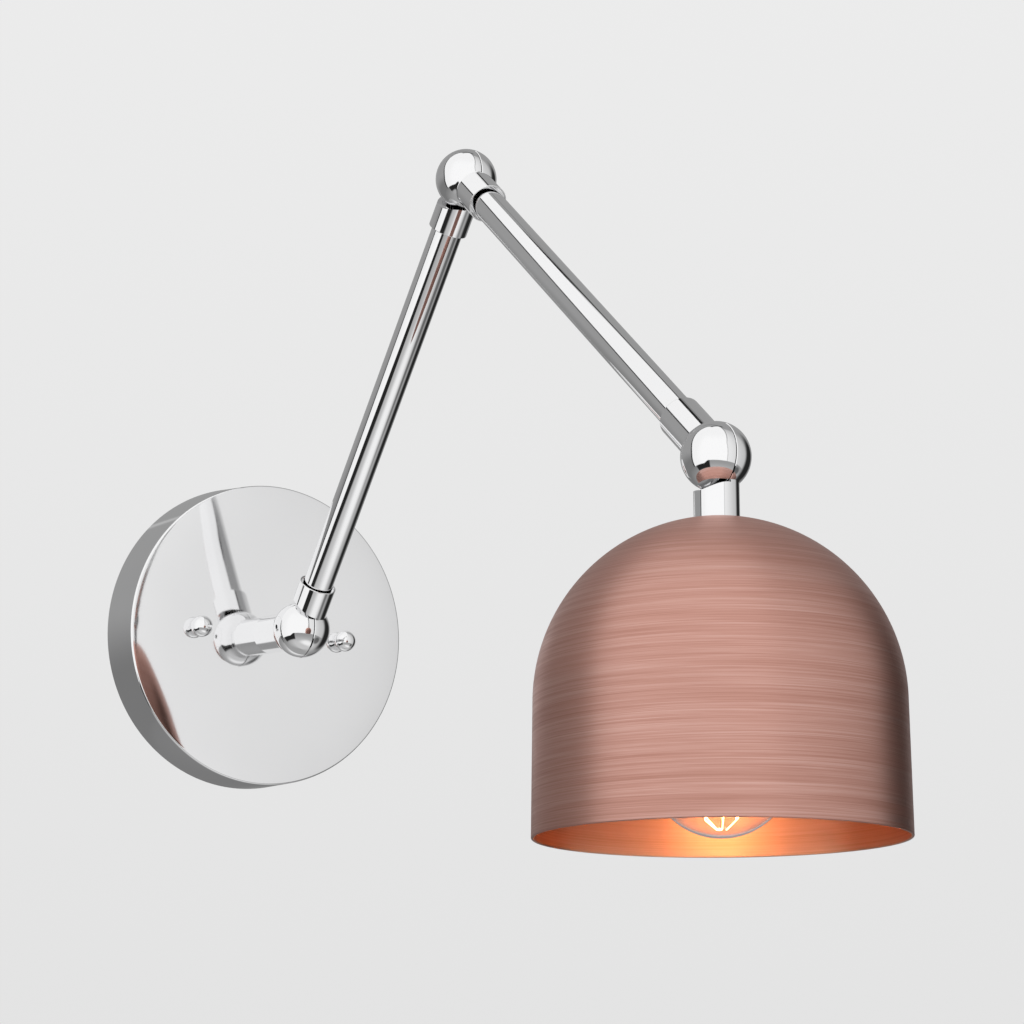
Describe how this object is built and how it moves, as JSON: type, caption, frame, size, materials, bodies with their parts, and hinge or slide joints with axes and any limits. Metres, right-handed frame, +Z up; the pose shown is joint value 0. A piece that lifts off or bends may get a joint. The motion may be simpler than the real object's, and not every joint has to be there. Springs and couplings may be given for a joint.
{
  "type": "wall sconce",
  "caption": "Two-arm wall sconce with a round canopy, three split ball joints, a brushed copper dome shade and a clear globe bulb.",
  "frame": {"origin": "middle of the wall strap's back face, on the wall plane, halfway between its two screw slots", "axes": "+Z up, +Y into the wall (the lamp reaches out along -Y), +X to the right for someone who faces the wall; all three joints turn about X"},
  "size_m": [0.1334, 0.4279, 0.2831],
  "materials": {
    "polished_chrome": "polished mirror plate",
    "brushed_copper": "copper plate with fine rings of brushing round the axis, lacquered",
    "zinc_steel": "zinc plated",
    "fibre": "hard fibre",
    "green_zinc": "green passivated zinc",
    "wire_insulation": "soft insulation",
    "connector_plastic": "moulded",
    "holder_brass": "satin brass",
    "phenolic": "moulded phenolic",
    "bulb_base_metal": "rolled thread",
    "black_glass": "fused glass",
    "clear_glass": "clear blown glass",
    "filament_wire": "glowing filament"
  },
  "bodies": {
    "wall_mount": {"canopy": "polished_chrome", "wall_strap": "zinc_steel", "canopy_studs": "zinc_steel", "stud_lock_nuts": "zinc_steel", "ball_cap_nuts": "polished_chrome", "earth_screw": "green_zinc", "stem_nipple": "zinc_steel", "stem_lock_washer": "zinc_steel", "stem_lock_nut": "zinc_steel", "stem_ball_half": "polished_chrome", "shoulder_cap": "polished_chrome", "shoulder_spring_washer": "zinc_steel", "shoulder_friction_washer": "fibre", "canopy_wires": "wire_insulation", "wire_connectors": "connector_plastic"},
    "lower_arm": {"lower_arm_ball_half": "polished_chrome", "shoulder_pivot_screw": "zinc_steel", "shoulder_stop_pin": "zinc_steel", "lower_arm_tube": "polished_chrome", "lower_elbow_half": "polished_chrome", "elbow_cap": "polished_chrome", "elbow_spring_washer": "zinc_steel", "elbow_friction_washer": "fibre", "lower_arm_wires": "wire_insulation"},
    "upper_arm": {"upper_elbow_half": "polished_chrome", "elbow_pivot_screw": "zinc_steel", "elbow_stop_pin": "zinc_steel", "upper_arm_tube": "polished_chrome", "upper_arm_end_half": "polished_chrome", "tilt_pivot_screw": "zinc_steel", "tilt_stop_pin": "zinc_steel", "upper_arm_wires": "wire_insulation"},
    "shade_head": {"shade_neck_half": "polished_chrome", "tilt_cap": "polished_chrome", "tilt_spring_washer": "zinc_steel", "tilt_friction_washer": "fibre", "shade": "brushed_copper", "shade_nipple": "zinc_steel", "shade_lock_washer": "zinc_steel", "holder_cap": "holder_brass", "holder_body": "phenolic", "holder_shell": "holder_brass", "holder_contact": "holder_brass", "terminal_screws": "holder_brass", "shade_wires": "wire_insulation", "bulb_base": "bulb_base_metal", "bulb_base_insulator": "black_glass", "bulb_contact": "zinc_steel", "bulb_globe": "clear_glass", "bulb_stem": "clear_glass", "filament_supports": "zinc_steel", "filament": "filament_wire"}
  },
  "joints": [
    {"name": "shoulder", "type": "hinge", "parent": "wall_mount", "child": "lower_arm", "pos_m": [0, -0.053, 0], "axis": [-1, 0, 0], "range_deg": [-75, 40]},
    {"name": "elbow", "type": "hinge", "parent": "lower_arm", "child": "upper_arm", "pos_m": [0, -0.17581, 0.17281], "axis": [-1, 0, 0], "range_deg": [-4, 120]},
    {"name": "shade_tilt", "type": "hinge", "parent": "upper_arm", "child": "shade_head", "pos_m": [0, -0.35423, 0.03738], "axis": [1, 0, 0], "range_deg": [-100, 45]}
  ]
}
